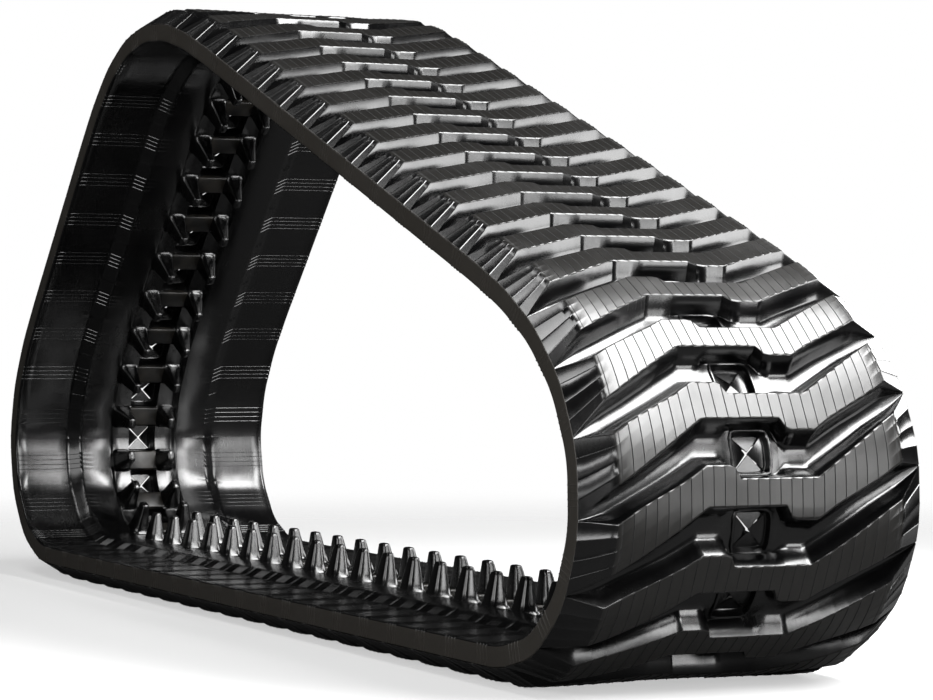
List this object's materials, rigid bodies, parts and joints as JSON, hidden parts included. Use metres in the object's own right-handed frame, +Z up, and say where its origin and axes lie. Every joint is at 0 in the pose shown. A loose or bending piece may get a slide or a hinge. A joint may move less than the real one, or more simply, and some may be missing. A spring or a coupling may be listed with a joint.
{
  "type": "rubber track",
  "caption": "Endless rubber crawler track standing as a free loop, with zigzag tread lugs outside and paired guide horns and sprocket windows inside.",
  "frame": {"origin": "on the ground under the middle of the loop's length and width", "axes": "+X along the ground strand towards the large front corner, +Y across the track away from its near side, +Z up"},
  "size_m": [2.1346, 0.45, 0.8979],
  "materials": {
    "track_rubber": "smooth moulded black rubber",
    "core_steel": "forged steel, rubbed bare where the sprocket and rollers touch"
  },
  "bodies": {
    "root": {"rubber_section_01": "track_rubber", "steel_cores_01": "core_steel", "rubber_section_02": "track_rubber", "steel_cores_02": "core_steel", "rubber_section_03": "track_rubber", "steel_cores_03": "core_steel", "rubber_section_04": "track_rubber", "steel_cores_04": "core_steel", "rubber_section_05": "track_rubber", "steel_cores_05": "core_steel", "rubber_section_06": "track_rubber", "steel_cores_06": "core_steel", "rubber_section_07": "track_rubber", "steel_cores_07": "core_steel", "rubber_section_08": "track_rubber", "steel_cores_08": "core_steel", "rubber_section_09": "track_rubber", "steel_cores_09": "core_steel", "rubber_section_10": "track_rubber", "steel_cores_10": "core_steel", "rubber_section_11": "track_rubber", "steel_cores_11": "core_steel"},
    "front_leg": {"rubber_section_12": "track_rubber", "steel_cores_12": "core_steel", "rubber_section_13": "track_rubber", "steel_cores_13": "core_steel", "rubber_section_14": "track_rubber", "steel_cores_14": "core_steel"},
    "front_top": {"rubber_section_15": "track_rubber", "steel_cores_15": "core_steel", "rubber_section_16": "track_rubber", "steel_cores_16": "core_steel", "rubber_section_17": "track_rubber", "steel_cores_17": "core_steel", "rubber_section_18": "track_rubber", "steel_cores_18": "core_steel", "rubber_section_19": "track_rubber", "steel_cores_19": "core_steel", "rubber_section_20": "track_rubber", "steel_cores_20": "core_steel"},
    "rear_leg": {"rubber_section_27": "track_rubber", "steel_cores_27": "core_steel", "rubber_section_28": "track_rubber", "steel_cores_28": "core_steel", "rubber_section_29": "track_rubber", "steel_cores_29": "core_steel"},
    "rear_top": {"rubber_section_21": "track_rubber", "steel_cores_21": "core_steel", "rubber_section_22": "track_rubber", "steel_cores_22": "core_steel", "rubber_section_23": "track_rubber", "steel_cores_23": "core_steel", "rubber_section_24": "track_rubber", "steel_cores_24": "core_steel", "rubber_section_25": "track_rubber", "steel_cores_25": "core_steel", "rubber_section_26": "track_rubber", "steel_cores_26": "core_steel"}
  },
  "joints": [
    {"name": "front_foot_sway", "type": "hinge", "parent": "root", "child": "front_leg", "pos_m": [0.85035, 0, 0.04125], "axis": [0, 1, 0], "range_deg": [-5, 5], "stiffness_Nm_per_rad": 6000},
    {"name": "front_shoulder_sway", "type": "hinge", "parent": "front_leg", "child": "front_top", "pos_m": [0.91529, 0, 0.41143], "axis": [0, 1, 0], "range_deg": [-5, 5]},
    {"name": "rear_foot_sway", "type": "hinge", "parent": "root", "child": "rear_leg", "pos_m": [-0.96079, 0, 0.07295], "axis": [0, 1, 0], "range_deg": [-5, 5]},
    {"name": "rear_shoulder_sway", "type": "hinge", "parent": "rear_leg", "child": "rear_top", "pos_m": [-0.89585, 0, 0.44314], "axis": [0, 1, 0], "range_deg": [-5, 5]}
  ],
  "couplings": [
    {"joint": "front_shoulder_sway", "follows": "front_foot_sway", "ratio": -1},
    {"joint": "rear_foot_sway", "follows": "front_foot_sway", "ratio": 1},
    {"joint": "rear_shoulder_sway", "follows": "front_foot_sway", "ratio": -1}
  ]
}
